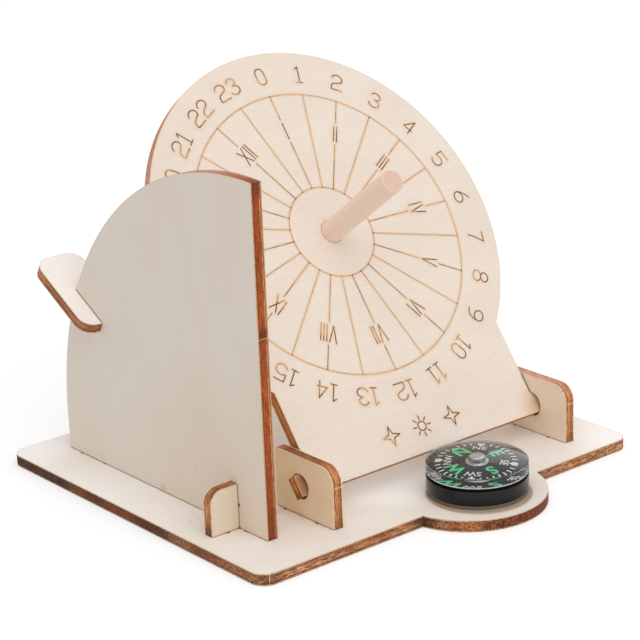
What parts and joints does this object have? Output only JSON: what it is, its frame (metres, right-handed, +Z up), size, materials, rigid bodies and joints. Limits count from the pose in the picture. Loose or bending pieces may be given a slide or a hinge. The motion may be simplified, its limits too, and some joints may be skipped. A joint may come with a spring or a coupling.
{
  "type": "equatorial sundial",
  "caption": "Plywood equatorial sundial kit: a tilting hour disc with a dowel gnomon, a quarter-round latitude plate with a clip, and a small compass on a slotted base.",
  "frame": {"origin": "middle of the square footprint, tongue included, on the base's underside", "axes": "+X to the right as seen from the compass side, +Y towards the back edge, +Z up"},
  "size_m": [0.12, 0.12, 0.0988],
  "materials": {
    "plywood": "bare laser-cut plywood with burnt edges",
    "dowel": "bare hardwood dowel",
    "clear_plastic": "clear acrylic",
    "black_plastic": "glossy black plastic",
    "steel": "plain steel",
    "card": "black printed card",
    "magnet": "dark bar magnet",
    "cap_metal": "turned aluminium"
  },
  "bodies": {
    "base": {"base_plate": "plywood", "latitude_plate": "plywood", "side_foot": "plywood", "hinge_bracket_left": "plywood", "hinge_bracket_right": "plywood", "compass_pad": "clear_plastic", "compass_case": "black_plastic", "compass_lid": "clear_plastic", "compass_pivot": "steel"},
    "dial": {"dial_plate": "plywood"},
    "gnomon_rod": {"gnomon": "dowel"},
    "clip": {"latitude_clip": "plywood"},
    "compass_needle": {"compass_card": "card", "compass_magnet": "magnet", "compass_cap": "cap_metal"}
  },
  "joints": [
    {"name": "dial_tilt", "type": "hinge", "parent": "base", "child": "dial", "pos_m": [0.008, -0.0247, 0.0105], "axis": [1, 0, 0], "range_deg": [-11.5, 36.5]},
    {"name": "gnomon_slide", "type": "slide", "parent": "dial", "child": "gnomon_rod", "axis": [0, -0.8039, 0.5948], "range_m": [-0.01, 0.01]},
    {"name": "clip_travel", "type": "hinge", "parent": "base", "child": "clip", "pos_m": [-0.0455, -0.0247, 0.013], "axis": [1, 0, 0], "range_deg": [-28, 11]},
    {"name": "compass_spin", "type": "hinge", "parent": "base", "child": "compass_needle", "pos_m": [0.0084, -0.0429, 0.0087], "axis": [0, 0, 1], "continuous": true}
  ]
}
